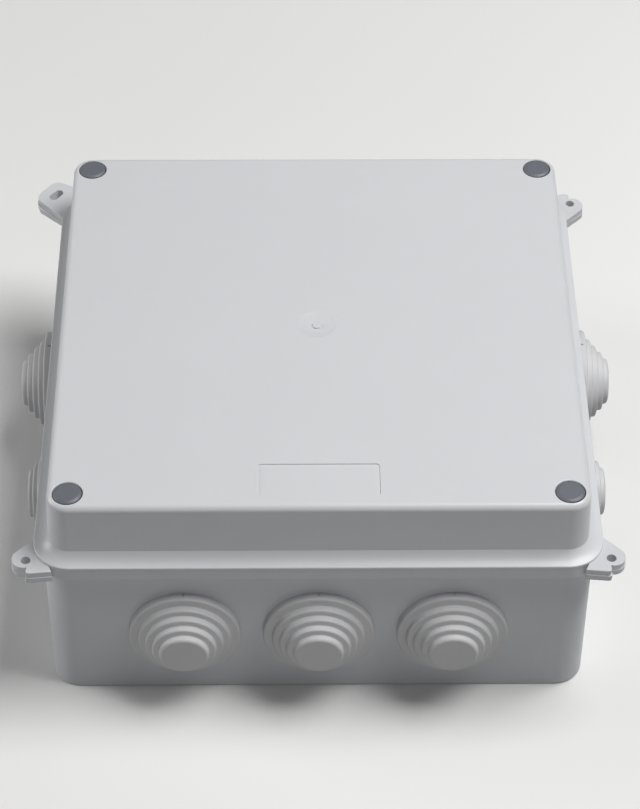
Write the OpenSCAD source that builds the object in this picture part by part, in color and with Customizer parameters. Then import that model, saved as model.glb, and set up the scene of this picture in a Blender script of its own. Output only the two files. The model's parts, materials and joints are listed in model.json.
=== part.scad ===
// Square waterproof junction box: a deep body with fixing ears, a screwed lid
// with a flared skirt, a rim seal, four capped lid screws and ten stepped
// rubber cable glands.
// The origin is the centre of the underside, +Z runs up through the lid, and
// -Y is the front, the side with three glands that the ears' tabs face.

/* [Body] */
// Width of the body over its side walls, the same both ways
body_w = 200; // [170:1:260]
// Height from the underside to the top of the lid
body_h = 95; // [90:1:130]
// Radius of the body's upright edges, whose centres carry the lid screws
body_corner_r = 10.5; // [10:0.5:13]
// Thickness of the body's side walls
wall_t = 2.8; // [2.2:0.1:3.2]
// Thickness of the floor
floor_t = 3; // [2:0.5:5]
// Chamfer round the edge of the underside
foot_chamfer = 0.8; // [0.4:0.1:1.5]

/* [Flange] */
// How far the flange stands out of the side walls
flange_out = 3; // [2.6:0.1:4]
// Height of the flange under the lid
flange_t = 5.6; // [4.5:0.1:7]
// Width of the seal groove in the flange
groove_w = 2.6; // [2:0.1:2.8]
// Depth of the seal groove
groove_d = 3; // [2.5:0.1:4]
// Height of the seal in its groove
seal_h = 1.5; // [1:0.1:2]

/* [Ears] */
// Distance of an ear's hole from the corner's centre, across
ear_x = 16; // [15.5:0.1:18]
// Distance of an ear's hole from the corner's centre, lengthways
ear_y = 8.8; // [7:0.1:9.5]
// Radius of the rounded end of an ear
ear_r = 5; // [4:0.1:5.5]
// Diameter of the fixing holes
ear_hole_d = 3.6; // [3:0.1:5]
// How far the lower layer of an ear stands out of the upper one
ear_step = 0.4; // [0.2:0.1:0.8]
// Distance between the two ends of the slot in the larger ear
slot_run = 2.6; // [2:0.1:3.4]

/* [Lid] */
// Height of the lid, from the flange to its top
lid_h = 26; // [22:1:40]
// Thickness of the lid
lid_t = 2.5; // [2:0.1:2.6]
// How far the lid's top edge stands in from the body's side walls
lid_inset = 3.2; // [2.8:0.1:3.3]
// How far the lid's side wall leans out on its way down
lid_lean = 0.8; // [0.2:0.1:1]
// Radius that rounds the lid's top edge
lid_round_r = 1.3; // [0.8:0.1:1.4]
// Height of the flared skirt above its edge
skirt_rise = 3.4; // [2.5:0.1:4]
// Height of the skirt's upright edge
skirt_edge = 1; // [0.6:0.1:1.5]
// Radius of the skirt's hollow curve
skirt_r = 9; // [6:0.5:14]

/* [Lid top] */
// Width of the marking field's recess
label_w = 44; // [20:1:80]
// Depth of the marking field's recess from front to back
label_d = 14; // [8:1:20]
// Distance of the marking field's front edge from the lid's front edge
label_margin = 7.4; // [5:0.1:20]
// Depth of the marking field's recess below the lid's top
label_sink = 0.35; // [0.2:0.05:0.8]
// Diameter of the moulding gate's dish
dish_d = 15; // [10:0.5:20]
// Depth of the moulding gate's dish
dish_sink = 1; // [0.5:0.1:1.5]

/* [Screws and caps] */
// Diameter of the screw caps
cap_d = 11; // [10:0.1:11.4]
// Thickness of a screw cap's disc
cap_t = 2.6; // [2:0.1:3.5]
// How far a cap stands above the lid
cap_proud = 0.4; // [0.1:0.1:1]
// Length of a cap's plug below its disc
plug_h = 7; // [4:0.5:9]
// Diameter of the screws' heads
head_d = 8; // [7:0.1:8.2]
// Height of the screws' heads
head_h = 2.8; // [2:0.1:4]
// Diameter of the screws' shanks
shank_d = 4; // [3:0.1:4.5]
// Length of the screws under their heads
shank_h = 22; // [14:1:30]
// Thickness of the seat under a screw's head
seat_t = 3; // [2:0.5:5]

/* [Cable glands] */
// Height of the glands' centres above the underside
gland_z = 32.5; // [28:0.5:36]
// Diameter of the holes that carry the glands
gland_hole_d = 34; // [28:0.5:36]
// Diameter of the glands' outer flanges
gland_flange_d = 41; // [38:0.5:44]
// Thickness of the glands' outer flanges
gland_flange_t = 3.4; // [2.5:0.1:4]
// Height of a gland from the wall to its tip
gland_h = 13; // [12:0.5:18]
// Number of steps between the flange and the tip
gland_steps = 4; // [2:1:4]
// How much narrower each step is than the one before it, in radius
gland_step_in = 2.6; // [2:0.1:2.8]
// Thickness of the rubber
rubber_t = 1.8; // [1.4:0.1:2]
// Height of the front side glands as a share of the others
squeezed = 0.86; // [0.8:0.02:1]
// Distance between the glands on the front and back walls
gland_pitch_front = 49.3; // [46:0.1:52]
// Distance between the two glands on each side wall
gland_pitch_side = 61.2; // [50:0.2:80]
// Height of the pads under the rear side glands
pad_h = 4.8; // [3:0.1:8]

/* [Inside] */
// Radius of the corner posts that take the screws
post_r = 6; // [5:0.1:6.5]
// Height of the mounting bosses on the floor
boss_h = 5; // [3:0.5:8]
// Distance between neighbouring mounting bosses
boss_pitch = 120; // [80:1:130]

/* [Hidden] */
$fn = 96;

// Running clearance of a piece that turns or lifts out
clear = 0.3;
// Clearance of a shank in its bore and of rubber in its hole
fine = 0.05;
// Overshoot of a cutter past a face
over = 1;

// Centre of each rounded corner, where the screws stand
corner = body_w / 2 - body_corner_r;
// Height of the plane where the lid meets the flange
part_z = body_h - lid_h;

// Radii measured from a corner's centre
inner_r = body_corner_r - wall_t;
flange_r = body_corner_r + flange_out;
skirt_out_r = flange_r + 0.2;
lid_top_r = body_corner_r - lid_inset;
lid_foot_r = lid_top_r + lid_lean;
groove_mid_r = body_corner_r + 0.1;

// Heights on the lid
skirt_foot_z = part_z + skirt_edge;
wall_foot_z = skirt_foot_z + skirt_rise;
lid_angle = atan(lid_lean / (body_h - wall_foot_z));

// The lid's tongue presses on the seal with a small gap left over
tongue_w = groove_w - 0.8;
tongue_h = groove_d - seal_h - 0.1;
seal_w = groove_w - 0.2;

// The wells that hold a screw's head below and a cap's plug above
well_r = head_d / 2 + 0.5;
tube_r = well_r + 2;
recess_r = cap_d / 2 + 0.2;
recess_h = cap_t - cap_proud;
head_z = part_z + seat_t;
bore_depth = shank_h - seat_t + 3;

ring_r = gland_hole_d / 2;
bead_h = 2.4;
bead_out = 1.8;
pad_r = gland_flange_d / 2 + 1.5;

boss_r = 4;
boss_bore_r = 1.6;

// Places a child at a corner's centre, mirrored so that +X and +Y point out
module at_corner(side_x, side_y) {
  translate([side_x * corner, side_y * corner, 0])
    mirror([side_x < 0 ? 1 : 0, 0, 0])
      mirror([0, side_y < 0 ? 1 : 0, 0])
        children();
}

// Carries a section round the rounded square: the section's x is the distance
// out from the corners' centres and its y is the height
module sweep_round() {
  for (turn = [0:90:270])
    rotate([0, 0, turn]) {
      translate([corner, corner, 0])
        rotate_extrude(angle = 90)
          children();
      translate([corner, corner, 0])
        rotate([90, 0, 0])
          linear_extrude(2 * corner)
            children();
    }
}

// Fills the square between the corners' centres
module core(z, h) {
  translate([-corner, -corner, z])
    cube([2 * corner, 2 * corner, h]);
}

// Rectangle of a section, from r0 to r1 and z0 to z1
module band(r0, r1, z0, z1) {
  translate([r0, z0])
    square([r1 - r0, z1 - z0]);
}

// Stands a child up on a side wall: its z points out of the wall.
// facing is 0 for the right wall, 90 back, 180 left and 270 front
module on_wall(facing, along) {
  rotate([0, 0, facing])
    translate([body_w / 2, along, gland_z])
      rotate([0, 90, 0])
        children();
}

module base_section() {
  difference() {
    union() {
      polygon([
        [0, 0],
        [body_corner_r - foot_chamfer, 0],
        [body_corner_r, foot_chamfer],
        [body_corner_r, part_z],
        [0, part_z]
      ]);
      band(body_corner_r - over, flange_r, part_z - flange_t, part_z);
    }
    band(0, inner_r, floor_t, part_z + over);
    seal_groove();
  }
}

module seal_groove() {
  band(groove_mid_r - groove_w / 2, groove_mid_r + groove_w / 2, part_z - groove_d, part_z + over);
}

// Outline of the three like ears, in the frame of their corner
module ear_outline(grow) {
  lean = 45.5;
  lap_r = 0.97 * (ear_r + grow);
  tab_end_x = ear_x - 0.4 + grow;
  tab_y = ear_y + 6.4 + grow;
  tab_root_x = 6.3;
  difference() {
    union() {
      translate([ear_x, ear_y])
        circle(r = ear_r + grow);
      polygon([
        [groove_mid_r + groove_w / 2, -2.5],
        [ear_x, ear_y] + lap_r * [sin(lean), -cos(lean)],
        [ear_x, ear_y],
        [tab_end_x, ear_y],
        [tab_end_x, tab_y - 0.8],
        [tab_end_x - 1.2, tab_y],
        [tab_root_x, tab_y - 0.6],
        [tab_root_x, 9]
      ]);
    }
    translate([ear_x + 0.6, ear_y + 4.6])
      circle(r = 1.2 - 0.4 * grow);
  }
}

// Outline of the larger ear, in the frame of its corner
module large_ear_outline(grow) {
  polygon([
    [groove_mid_r + groove_w / 2, -4 - grow],
    [ear_x + 6.4 + grow, 1.8],
    [ear_x + 8.4 + grow, 6.5],
    [ear_x + 8.4 + grow, 13.6],
    [ear_x + 5.6 + grow, 18.4],
    [ear_x + 1.4, 22.6 + grow],
    [ear_x - 1, 22.8 + grow],
    [ear_x - 6, 19.4 + grow],
    [4, 12]
  ]);
}

module ear(large) {
  layer = flange_t / 2;
  translate([0, 0, part_z - layer])
    linear_extrude(layer)
      if (large) large_ear_outline(0);
      else ear_outline(0);
  translate([0, 0, part_z - flange_t])
    linear_extrude(layer)
      if (large) large_ear_outline(ear_step);
      else ear_outline(ear_step);
}

// Holes of an ear: one round hole, or two that run together as a slot
module ear_holes(large) {
  hole_r = ear_hole_d / 2;
  far = slot_run / 2;
  centre = large ? [ear_x + 1.1, ear_y + 5.7] : [ear_x, ear_y];
  for (end = large ? [-1, 1] : [0])
    translate([centre[0] + end * far * sin(45), centre[1] - end * far * cos(45), part_z - flange_t - over])
      cylinder(r = hole_r, h = flange_t + 2 * over);
}

module all_ears(holes) {
  for (side_x = [-1, 1], side_y = [-1, 1]) {
    large = side_x < 0 && side_y > 0;
    at_corner(side_x, side_y)
      if (holes) ear_holes(large);
      else ear(large);
  }
}

// Corner post with two webs that tie it to the walls
module post() {
  web_t = 2;
  post_top = part_z - 0.2;
  translate([0, 0, floor_t - over])
    cylinder(r = post_r, h = post_top - floor_t + over);
  for (turn = [0, 90])
    rotate([0, 0, turn])
      translate([0, -web_t / 2, floor_t - over])
        cube([inner_r + 0.5, web_t, post_top - floor_t + over - 2]);
}

module boss() {
  translate([0, 0, floor_t - over])
    cylinder(r = boss_r, h = boss_h + over);
}

module gland_holes(depth) {
  for (place = front_and_back)
    on_wall(place[0], place[1])
      translate([0, 0, -wall_t - over])
        cylinder(r = gland_hole_d / 2, h = depth);
  for (place = side_places)
    on_wall(place[0], place[1])
      translate([0, 0, -wall_t - over])
        cylinder(r = gland_hole_d / 2, h = depth);
}

// Each place is the wall's direction and the distance along the wall
front_and_back = [for (facing = [270, 90], step = [-1, 0, 1]) [facing, step * gland_pitch_front]];
side_places = [for (facing = [0, 180], step = [-1, 1]) [facing, step * gland_pitch_side / 2]];

module base() color([0.80, 0.81, 0.82]) {
  difference() {
    union() {
      sweep_round() base_section();
      core(0, floor_t);
      difference() {
        all_ears(false);
        sweep_round() seal_groove();
        sweep_round() band(0, body_corner_r - over / 2, 0, body_h);
      }
      for (side_x = [-1, 1], side_y = [-1, 1]) {
        at_corner(side_x, side_y) post();
        translate([side_x * boss_pitch / 2, side_y * boss_pitch / 2, 0]) boss();
      }
      on_wall(0, gland_pitch_side / 2) translate([0, 0, -over]) cylinder(r = pad_r, h = pad_h + over);
      on_wall(180, -gland_pitch_side / 2) translate([0, 0, -over]) cylinder(r = pad_r, h = pad_h + over);
    }
    all_ears(true);
    gland_holes(wall_t + pad_h + 2 * over);
    for (side_x = [-1, 1], side_y = [-1, 1]) {
      translate([side_x * corner, side_y * corner, part_z - bore_depth])
        cylinder(r = shank_d / 2 + fine, h = bore_depth);
      translate([side_x * boss_pitch / 2, side_y * boss_pitch / 2, floor_t])
        cylinder(r = boss_bore_r, h = boss_h + over);
    }
  }
}

// Centre of the circle that rounds the lid's top edge: it touches the top and
// the leaning side wall
lid_round_c = [
  lid_top_r - lid_round_r * (1 - sin(lid_angle)) / cos(lid_angle),
  body_h - lid_round_r
];

// Centre of the skirt's hollow curve, on the far side of the chord from the
// foot of the side wall to the skirt's edge
skirt_a = [lid_foot_r, wall_foot_z];
skirt_b = [skirt_out_r, skirt_foot_z];
skirt_chord = skirt_b - skirt_a;
skirt_away = sqrt(skirt_r * skirt_r - skirt_chord * skirt_chord / 4);
skirt_c = (skirt_a + skirt_b) / 2 + skirt_away * [-skirt_chord[1], skirt_chord[0]] / norm(skirt_chord);

module lid_section() {
  difference() {
    union() {
      polygon([
        [0, body_h],
        [lid_round_c[0], body_h],
        lid_round_c + lid_round_r * [cos(lid_angle), sin(lid_angle)],
        skirt_a,
        [skirt_out_r, wall_foot_z],
        [skirt_out_r, part_z],
        [0, part_z]
      ]);
      translate(lid_round_c)
        circle(r = lid_round_r);
      band(groove_mid_r - tongue_w / 2, groove_mid_r + tongue_w / 2, part_z - tongue_h, part_z + over);
    }
    intersection() {
      translate(skirt_c)
        circle(r = skirt_r);
      band(lid_foot_r, skirt_out_r + over, part_z, wall_foot_z + over);
    }
    polygon([
      [0, part_z - over],
      [0, body_h - lid_t],
      [lid_top_r - lid_t, body_h - lid_t],
      [lid_foot_r - lid_t, wall_foot_z],
      [lid_foot_r - lid_t, part_z - over]
    ]);
  }
}

// Rounded rectangle, centred
module field(w, d, r) {
  square([w - 2 * r, d], center = true);
  square([w, d - 2 * r], center = true);
  for (side_x = [-1, 1], side_y = [-1, 1])
    translate([side_x * (w / 2 - r), side_y * (d / 2 - r)])
      circle(r = r);
}

// The dish round the moulding gate, with its nib left standing
module gate_dish() {
  flat_r = dish_d * 0.27;
  nib_r = 1.7;
  difference() {
    translate([0, 0, body_h - dish_sink])
      cylinder(r1 = flat_r, r2 = dish_d / 2 + dish_d / 2 - flat_r, h = 2 * dish_sink);
    translate([0, 0, body_h - dish_sink - over])
      cylinder(r = nib_r, h = over + dish_sink * 0.7);
    translate([0, nib_r + 0.9, body_h - dish_sink - over])
      cylinder(r = 0.5, h = over + dish_sink * 0.45);
  }
}

module screw_well() {
  translate([0, 0, part_z - over])
    cylinder(r = shank_d / 2 + clear, h = seat_t + 2 * over);
  translate([0, 0, head_z])
    cylinder(r = well_r, h = body_h - head_z);
  translate([0, 0, body_h - recess_h])
    cylinder(r = recess_r, h = recess_h + over);
  translate([0, 0, body_h - 0.2])
    cylinder(r1 = recess_r, r2 = recess_r + 0.4, h = 0.4);
}

module lid() color([0.81, 0.82, 0.83]) {
  label_y = -(body_w / 2 - lid_inset) + label_margin + label_d / 2;
  difference() {
    union() {
      sweep_round() lid_section();
      core(body_h - lid_t, lid_t);
      for (side_x = [-1, 1], side_y = [-1, 1])
        translate([side_x * corner, side_y * corner, part_z])
          cylinder(r = tube_r, h = body_h - part_z - lid_t / 2);
    }
    for (side_x = [-1, 1], side_y = [-1, 1])
      translate([side_x * corner, side_y * corner, 0])
        screw_well();
    translate([0, label_y, body_h - label_sink])
      linear_extrude(label_sink + over)
        field(label_w, label_d, 2);
    gate_dish();
  }
}

// Foam ring that fills the bottom of the flange's groove
module rim_seal() color([0.25, 0.25, 0.26])
  sweep_round()
    band(groove_mid_r - seal_w / 2, groove_mid_r + seal_w / 2, part_z - groove_d, part_z - groove_d + seal_h);

// Pan-head screw with a cross recess, standing at a corner
module screw(side_x, side_y) color([0.72, 0.72, 0.74]) {
  tip_h = shank_d * 0.6;
  slot_w = 1.1;
  slot_l = head_d * 0.55;
  translate([side_x * corner, side_y * corner, head_z]) {
    difference() {
      union() {
        cylinder(r = head_d / 2, h = head_h - 0.8);
        translate([0, 0, head_h - 0.8])
          cylinder(r1 = head_d / 2, r2 = head_d / 2 - 0.8, h = 0.8);
      }
      for (turn = [0, 90])
        rotate([0, 0, turn])
          translate([-slot_l / 2, -slot_w / 2, head_h - 1.6])
            cube([slot_l, slot_w, 1.6 + over]);
    }
    translate([0, 0, tip_h - shank_h])
      cylinder(r = shank_d / 2, h = shank_h - tip_h + 0.2);
    translate([0, 0, -shank_h])
      cylinder(r1 = shank_d / 5, r2 = shank_d / 2, h = tip_h);
  }
}

// Plug-in cap over a screw, with a bevelled disc and a hollow plug
module cap(side_x, side_y) color([0.42, 0.43, 0.47]) {
  bevel = 0.6;
  plug_r = well_r - clear;
  translate([side_x * corner, side_y * corner, body_h - recess_h])
    rotate_extrude()
      difference() {
        union() {
          polygon([
            [0, 0],
            [cap_d / 2, 0],
            [cap_d / 2, cap_t - bevel],
            [cap_d / 2 - bevel, cap_t],
            [0, cap_t]
          ]);
          band(0, plug_r, -plug_h, over);
        }
        band(0, plug_r - 1.4, -plug_h - over, -0.4);
      }
}

// Outer radius and height of each gland step, counted from the flange
function step_r(k) = ring_r - gland_step_in * k;
function step_h(k, tall) = gland_flange_t * tall / gland_h + (tall - gland_flange_t * tall / gland_h) * (k + 1) / gland_steps;

// One rounded step of a gland's section
module round_step(r, h, f) {
  square([r, h - f]);
  square([r - f, h]);
  translate([r - f, h - f])
    circle(r = f);
}

// Stepped rubber shell, standing on z = 0 as its wall face. It grips a wall of
// the given thickness between its flange and the bead behind it
module gland(tall, grip) color([0.83, 0.83, 0.84]) {
  flange_h = gland_flange_t * tall / gland_h;
  bead_r = ring_r + bead_out;
  mouth_z = -grip - bead_h - over;
  tip_round = 1.5;
  edge_round = 0.9;
  difference() {
    union() {
      rotate_extrude()
        round_step(gland_flange_d / 2, flange_h, edge_round);
      for (k = [0:gland_steps - 1])
        rotate_extrude()
          round_step(step_r(k), step_h(k, tall), k == gland_steps - 1 ? tip_round : edge_round);
      rotate_extrude()
        polygon([
          [0, over],
          [ring_r - fine, over],
          [ring_r - fine, -grip],
          [bead_r, -grip],
          [bead_r, -grip - 0.8],
          [ring_r - 0.2, -grip - bead_h],
          [0, -grip - bead_h]
        ]);
    }
    for (k = [0:gland_steps - 1])
      translate([0, 0, mouth_z])
        cylinder(r = step_r(k) - rubber_t, h = step_h(k, tall) - rubber_t - mouth_z);
    translate([-gland_flange_d / 2, 0, -over])
      linear_extrude(flange_h + 2 * over)
        polygon([[-over, -1.2], [1.2, 0], [-over, 1.2]]);
  }
}

module front_gland(step) on_wall(270, step * gland_pitch_front) gland(gland_h, wall_t);
module back_gland(step) on_wall(90, -step * gland_pitch_front) gland(gland_h, wall_t);
module side_front_gland(side) on_wall(side > 0 ? 0 : 180, -side * gland_pitch_side / 2) gland(gland_h * squeezed, wall_t);
module side_rear_gland(side) on_wall(side > 0 ? 0 : 180, side * gland_pitch_side / 2)
  translate([0, 0, pad_h]) gland(gland_h, wall_t + pad_h);

base();
lid();
rim_seal();
screw(-1, -1);  // screw_front_left
screw(1, -1);  // screw_front_right
screw(-1, 1);  // screw_back_left
screw(1, 1);  // screw_back_right
cap(-1, -1);  // cap_front_left
cap(1, -1);  // cap_front_right
cap(-1, 1);  // cap_back_left
cap(1, 1);  // cap_back_right
front_gland(-1);  // gland_front_left
front_gland(0);  // gland_front_middle
front_gland(1);  // gland_front_right
back_gland(-1);  // gland_back_left
back_gland(0);  // gland_back_middle
back_gland(1);  // gland_back_right
side_front_gland(-1);  // gland_left_front
side_rear_gland(-1);  // gland_left_rear
side_front_gland(1);  // gland_right_front
side_rear_gland(1);  // gland_right_rear
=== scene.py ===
"""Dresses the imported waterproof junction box: moulded shells, screw caps, threaded
lid screws, stepped rubber glands and a foam seal, with their finishes and a stage."""

import json
import math

import bmesh
import bpy
from bpy.props import FloatProperty, FloatVectorProperty, IntProperty, PointerProperty
from mathutils import Matrix, Vector


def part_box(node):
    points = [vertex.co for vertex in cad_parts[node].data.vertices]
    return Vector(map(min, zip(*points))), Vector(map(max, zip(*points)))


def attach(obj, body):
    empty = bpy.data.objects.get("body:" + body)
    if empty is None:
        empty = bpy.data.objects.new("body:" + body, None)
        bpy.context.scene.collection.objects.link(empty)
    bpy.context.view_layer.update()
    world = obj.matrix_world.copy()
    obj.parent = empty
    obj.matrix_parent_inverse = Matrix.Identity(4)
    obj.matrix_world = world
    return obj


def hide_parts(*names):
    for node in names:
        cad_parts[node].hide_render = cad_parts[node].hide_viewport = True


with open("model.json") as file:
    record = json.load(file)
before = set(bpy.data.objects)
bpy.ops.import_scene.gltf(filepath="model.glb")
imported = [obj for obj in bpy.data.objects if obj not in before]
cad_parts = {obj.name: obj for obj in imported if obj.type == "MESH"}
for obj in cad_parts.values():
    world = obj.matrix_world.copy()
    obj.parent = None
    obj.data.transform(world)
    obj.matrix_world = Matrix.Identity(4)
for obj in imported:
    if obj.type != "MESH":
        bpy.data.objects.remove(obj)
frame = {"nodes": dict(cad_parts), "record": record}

bl_info = {
    "name": "Waterproof Junction Box",
    "version": (1, 0, 0),
    "blender": (4, 5, 0),
    "location": "3D View > Sidebar > Junction Box",
    "description": "Models and finishes the pieces of a square junction box",
    "category": "Object",
}

MM = 0.001
SEGMENTS = 96
NEAR = 0.004 * MM  # how far off a vertex may lie when it is picked by its place
GROOVE_OUT = 0.1 * MM  # from the wall's outer face to the middle of the seal groove
SKIRT_OUT = 0.2 * MM  # how far the lid's skirt stands out past the flange
ROOT_IN = 0.8 * MM  # how far an ear's root reaches into the flange
EAR_HOLE = (16.0 * MM, 8.6 * MM)  # an ear's round hole, from the corner's centre
BOSS_PLACE = 60 * MM  # distance of the mounting bosses from the middle, both ways
BEAD_HEIGHT = 2.4 * MM  # height of a gland's bead behind the wall
SIDE_SQUEEZE = 0.86  # share of their height that the front glands of the side walls keep
CORNERS = {
    "front_left": (-1, -1),
    "front_right": (1, -1),
    "back_left": (-1, 1),
    "back_right": (1, 1),
}
CORNER_BODY = {name: "".join(word[0] for word in name.split("_")) for name in CORNERS}
FINISH = {row["slot"]: row["base_color"] for row in frame["record"]["materials"]}
GLAND_NODES = sorted(name for name in frame["nodes"] if name.startswith("gland_"))

# The camera, solved from the photograph, and each lamp's size and place.
CAMERA_PLACE = (-0.00969, -0.73557, 0.78122)
YAW, PITCH, ROLL = 0.01515, 0.78236, 0.00746
LAMPS = {
    "key": (0.8, (0.6, 0.0, 1.35)),
    "front": (0.8, (0.0, -1.4, 0.5)),
    "left": (1.0, (-2.0, 0.32, 0.7)),
}
LAMP_TARGET = (0.0, 0.0, 0.06)
FLOOR_SIZE = 8.0


def colour_property(name, description, colour):
    """A colour setting; a piece's default is the record's colour for its slot."""
    return FloatVectorProperty(
        name=name,
        description=description,
        subtype="COLOR",
        min=0.0,
        max=1.0,
        default=colour,
    )


def number_property(name, description, default, subtype, **more):
    """A number that isn't negative."""
    return FloatProperty(
        name=name, description=description, default=default, min=0.0, subtype=subtype, **more
    )


def share_property(name, description, share):
    """A number from 0 to 1."""
    return number_property(name, description, share, "FACTOR", max=1.0)


def length_property(name, description, millimetres):
    """A length with its default given in millimetres."""
    return number_property(name, description, millimetres * MM, "DISTANCE", unit="LENGTH")


class BodySettings(bpy.types.PropertyGroup):
    """Sizes and finish of the moulded body."""

    colour: colour_property("Body", "Colour of the body's plastic", FINISH["body_plastic"])
    roughness: share_property("Roughness", "Roughness of the satin surface", 0.34)
    corner: length_property("Corner", "Radius of the upright edges", 10.5)
    wall: length_property("Wall", "Thickness of the side walls", 2.8)
    floor: length_property("Floor", "Thickness of the floor", 3)
    flange_out: length_property("Flange", "How far the flange stands out", 3)
    flange_height: length_property("Flange height", "Height of the flange", 5.6)
    groove: length_property("Groove", "Width of the seal groove", 2.6)
    groove_depth: length_property("Groove depth", "Depth of the seal groove", 3)
    ear_height: length_property("Ear", "Thickness of the fixing ears", 5.1)
    ear_step: length_property("Ear step", "How far an ear's lower layer stands out", 0.3)
    edge: length_property("Edge", "Radius on the ears' and flange's edges", 0.55)


class LidSettings(bpy.types.PropertyGroup):
    """Sizes and finish of the lid."""

    colour: colour_property("Lid", "Colour of the lid's plastic", FINISH["lid_plastic"])
    roughness: share_property("Roughness", "Roughness of the satin surface", 0.34)
    plate: length_property("Plate", "Thickness of the lid", 2.5)
    inset: length_property("Inset", "How far the top stands in from the walls", 3.0)
    lean: length_property("Lean", "How far the side leans out on its way down", 0.8)
    rounding: length_property("Rounding", "Radius round the top", 2.4)
    skirt_edge: length_property("Skirt edge", "Height of the skirt's upright edge", 1)
    skirt_rise: length_property("Skirt", "Height of the flared skirt", 3.4)
    skirt_curve: length_property("Skirt curve", "Radius of the skirt's hollow", 9)
    dish: length_property("Dish", "Diameter of the moulding gate's dish", 15)
    dish_sink: length_property("Dish depth", "Depth of the moulding gate's dish", 1)
    dish_forward: length_property("Dish place", "Distance of the dish from the middle", 2)
    label_sink: length_property("Field depth", "Depth of the marking field", 0.45)


class GlandSettings(bpy.types.PropertyGroup):
    """Sizes and finish of the stepped rubber glands."""

    colour: colour_property("Rubber", "Colour of the glands' rubber", FINISH["gland_rubber"])
    hole: length_property("Hole", "Diameter of the hole in the wall", 34)
    flange: length_property("Flange", "Diameter of the outer flange", 41)
    flange_height: length_property("Flange height", "Thickness of the flange", 3.4)
    height: length_property("Height", "Height from the wall to the tip", 13)
    step_in: length_property("Step", "How far each step stands in", 2.6)
    steps: IntProperty(
        name="Steps", description="Steps between the flange and the tip", min=2, max=5, default=4
    )
    rubber: length_property("Thickness", "Thickness of the rubber", 1.8)
    crest: length_property("Crest", "Radius on the steps' outer edges", 0.8)
    valley: length_property("Valley", "Radius between two steps", 0.35)


class CapSettings(bpy.types.PropertyGroup):
    """Sizes and finish of the screw caps."""

    colour: colour_property("Cap", "Colour of the caps' plastic", FINISH["cap_plastic"])
    diameter: length_property("Diameter", "Diameter of a cap's disc", 10.4)
    thickness: length_property("Thickness", "Thickness of a cap's disc", 2.6)
    bevel: length_property("Bevel", "Width of the bevel round the disc", 1.1)
    plug: length_property("Plug", "Diameter of the plug under the disc", 8.4)
    plug_wall: length_property("Plug wall", "Thickness of the plug's wall", 1.4)


class ScrewSettings(bpy.types.PropertyGroup):
    """Sizes and finish of the lid screws."""

    colour: colour_property("Zinc", "Colour of the plated steel", FINISH["screw_steel"])
    head: length_property("Head", "Diameter of the head", 8)
    head_height: length_property("Head height", "Height of the head", 2.8)
    shank: length_property("Shank", "Outer diameter of the thread", 4)
    pitch: length_property("Pitch", "Distance between two turns of the thread", 1.6)
    recess: length_property("Recess", "Length of the cross recess", 4.4)
    recess_width: length_property("Recess width", "Width of the recess's arms", 1.1)


class StageSettings(bpy.types.PropertyGroup):
    """Floor, lights and camera."""

    floor_colour: colour_property("Floor", "The floor as the camera sees it", (0.88, 0.88, 0.87))
    bounce: share_property("Bounce", "Share of the light that the floor throws back", 0.25)
    ambient: share_property("Ambient", "Strength of the world", 0.03)
    key: number_property("Key", "Power of the lamp above on the right", 19.0, "POWER")
    front: number_property("Front", "Power of the low lamp in front", 2.6, "POWER")
    left: number_property("Left", "Power of the low lamp on the left", 18.0, "POWER")
    lens: number_property("Lens", "Focal length on a 36 mm sensor", 117.94, "DISTANCE_CAMERA")


class Value:
    """A number in a material's nodes; arithmetic on it adds Math nodes."""

    def __init__(self, graph, socket):
        self.graph = graph
        self.socket = socket

    def __add__(self, other):
        return self.graph.maths("ADD", self, other)

    def __radd__(self, other):
        return self.graph.maths("ADD", other, self)

    def __sub__(self, other):
        return self.graph.maths("SUBTRACT", self, other)

    def __rsub__(self, other):
        return self.graph.maths("SUBTRACT", other, self)

    def __mul__(self, other):
        return self.graph.maths("MULTIPLY", self, other)

    def __rmul__(self, other):
        return self.graph.maths("MULTIPLY", other, self)


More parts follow.
